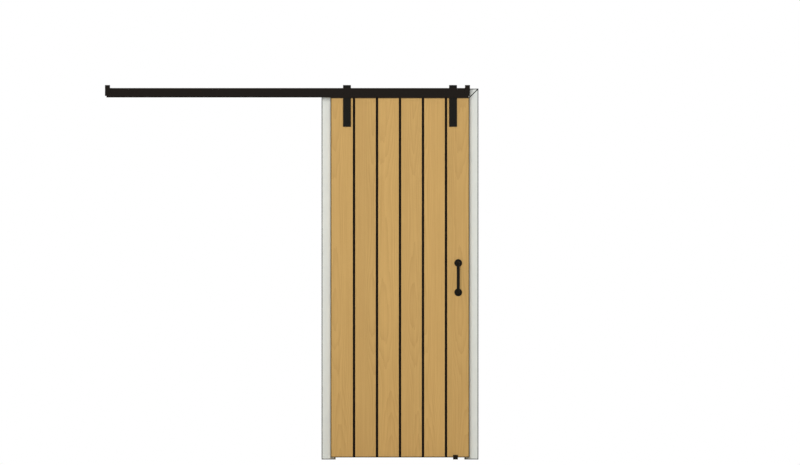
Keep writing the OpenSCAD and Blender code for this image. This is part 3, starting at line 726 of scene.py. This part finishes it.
mesh = bmesh.new()
for low, high in solids("ledge_screws"):
    at = middle_xz(low, high, high.y) @ AGAINST_Y
    countersunk(mesh, at, LEDGE_SCREW_HEAD_D, LEDGE_SCREW_D, high.y - low.y)
piece("ledge_screws", mesh, plated, "door")

mesh = bmesh.new()
for low, high in solids("frame_screws"):
    outer_x = high.x if high.x > 0 else low.x
    at = Matrix.Translation((outer_x, (low.y + high.y) / 2, (low.z + high.z) / 2))
    at = at @ (AGAINST_X if high.x > 0 else ALONG_X)
    countersunk(mesh, at, FRAME_SCREW_HEAD_D, FRAME_SCREW_D, high.x - low.x)
piece("frame_screws", mesh, plated, "frame")

mesh = bmesh.new()
for low, high in solids("strap_bolts"):
    at = middle_xz(low, high, low.y + BOLT_HEAD_H) @ ALONG_Y
    hex_headed(mesh, at, BOLT_FLATS, BOLT_HEAD_H, BOLT_D, high.y - low.y - BOLT_HEAD_H)
piece("strap_bolts", mesh, hanger_black, "door")

mesh = bmesh.new()
for low, high in solids("strap_nuts"):
    hex_nut(mesh, middle_xz(low, high, low.y) @ ALONG_Y, BOLT_FLATS, high.y - low.y, BOLT_D)
piece("strap_nuts", mesh, plated, "door")

for side in ("left", "right"):
    mesh = bmesh.new()
    low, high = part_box(f"axle_{side}")
    at = middle_xz(low, high, low.y + AXLE_HEAD_H) @ ALONG_Y
    length = high.y - low.y - AXLE_HEAD_H
    start = length - AXLE_THREAD_L
    end = length - AXLE_PITCH / 2
    hex_headed(mesh, at, BOLT_FLATS, AXLE_HEAD_H, AXLE_THREAD_D, length)
    thread(mesh, at, AXLE_THREAD_D, BOLT_D, AXLE_PITCH, start, end)
    piece(f"axle_{side}", mesh, hanger_black, "door")

    mesh = bmesh.new()
    low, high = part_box(f"axle_nut_{side}")
    hex_nut(mesh, middle_xz(low, high, low.y) @ ALONG_Y, BOLT_FLATS, high.y - low.y, BOLT_D)
    piece(f"axle_nut_{side}", mesh, plated, "door")

mesh = bmesh.new()
for low, high in solids("rail_screws"):
    at = middle_xz(low, high, low.y + LAG_HEAD_H) @ ALONG_Y
    length = high.y - low.y - LAG_HEAD_H
    start = length - LAG_THREAD_L
    end = length - LAG_PITCH / 2
    hex_headed(mesh, at, LAG_FLATS, LAG_HEAD_H, LAG_CORE_D, length, point=LAG_D)
    thread(mesh, at, LAG_CORE_D, LAG_D, LAG_PITCH, start, end, taper=LAG_D)
piece("rail_screws", mesh, track_black, "frame")

mesh = bmesh.new()
for low, high in solids("handle_bolts"):
    at = middle_xz(low, high, high.y) @ AGAINST_Y
    socket_headed(mesh, at, high.x - low.x, PAN_HEAD_H, PAN_KEY, PAN_SHANK_D, high.y - low.y)
piece("handle_bolts", mesh, plated, "door")


# Stage: a pale floor, soft lamps and a white surround

def seen_as_white(tree, kind, share, shader, output):
    """Shows a share of plain white to the camera and in mirrors, and the shader to all other light."""
    nodes = tree.nodes
    path = nodes.new("ShaderNodeLightPath")
    seen = path.outputs["Is Camera Ray"]
    for name in ("Is Glossy Ray", "Is Transmission Ray"):
        either = nodes.new("ShaderNodeMath")
        either.operation = "MAXIMUM"
        tree.links.new(seen, either.inputs[0])
        tree.links.new(path.outputs[name], either.inputs[1])
        seen = either.outputs[0]
    white = nodes.new("ShaderNode" + kind)
    white.inputs["Color"].default_value = WHITE
    white.inputs["Strength"].default_value = 1.0
    part = nodes.new("ShaderNodeMath")
    part.operation = "MULTIPLY"
    tree.links.new(seen, part.inputs[0])
    part.inputs[1].default_value = share
    blend = nodes.new("ShaderNodeMixShader")
    tree.links.new(part.outputs[0], blend.inputs[0])
    tree.links.new(shader, blend.inputs[1])
    tree.links.new(white.outputs[0], blend.inputs[2])
    tree.links.new(blend.outputs[0], output)


world = bpy.data.worlds.new("surround")
bpy.context.scene.world = world
world.use_nodes = True
fill = world.node_tree.nodes["Background"]
fill.inputs["Color"].default_value = WHITE
fill.inputs["Strength"].default_value = SURROUND
sky = world.node_tree.nodes["World Output"].inputs["Surface"]
seen_as_white(world.node_tree, "Background", 1.0, fill.outputs[0], sky)

bpy.ops.mesh.primitive_plane_add(size=FLOOR_SIZE, location=(0.0, 0.0, -FLOOR_DROP))
floor = bpy.context.object
floor.name = "floor"
graph = Graph("pale_floor")
cloud = graph.noise(graph.place(), scale=3.0, detail=4.0)
graph.surface(
    Base_Color=graph.mix(cloud, linear(FLOOR, 0.97), linear(FLOOR, 1.03)),
    Roughness=graph.between(cloud, low=0.75, high=0.9),
    Specular_IOR_Level=0.2,
)
top = graph.tree.nodes["Material Output"].inputs["Surface"]
seen_as_white(graph.tree, "Emission", FLOOR_WHITE, graph.shader.outputs[0], top)
floor.data.materials.append(graph.material)

for name, (place, size, power) in LAMPS.items():
    light = bpy.data.lights.new(name, "AREA")
    light.size = size
    light.energy = power
    lamp = bpy.data.objects.new(name, light)
    lamp.location = place
    lamp.rotation_euler = (Vector(LAMP_AIM) - Vector(place)).to_track_quat("-Z", "Y").to_euler()
    bpy.context.scene.collection.objects.link(lamp)

camera = bpy.data.cameras.new("front")
camera.type = "ORTHO"
camera.ortho_scale = PICTURE_W * METRES_PER_PIXEL
camera.clip_end = CAMERA_REACH
viewer = bpy.data.objects.new("front", camera)
viewer.location = (0.0, -CAMERA_BACK, (FLOOR_ROW - PICTURE_H / 2) * METRES_PER_PIXEL)
viewer.rotation_euler = (math.pi / 2, 0.0, 0.0)
bpy.context.scene.collection.objects.link(viewer)
bpy.context.scene.camera = viewer
bpy.context.scene.view_settings.view_transform = "Standard"
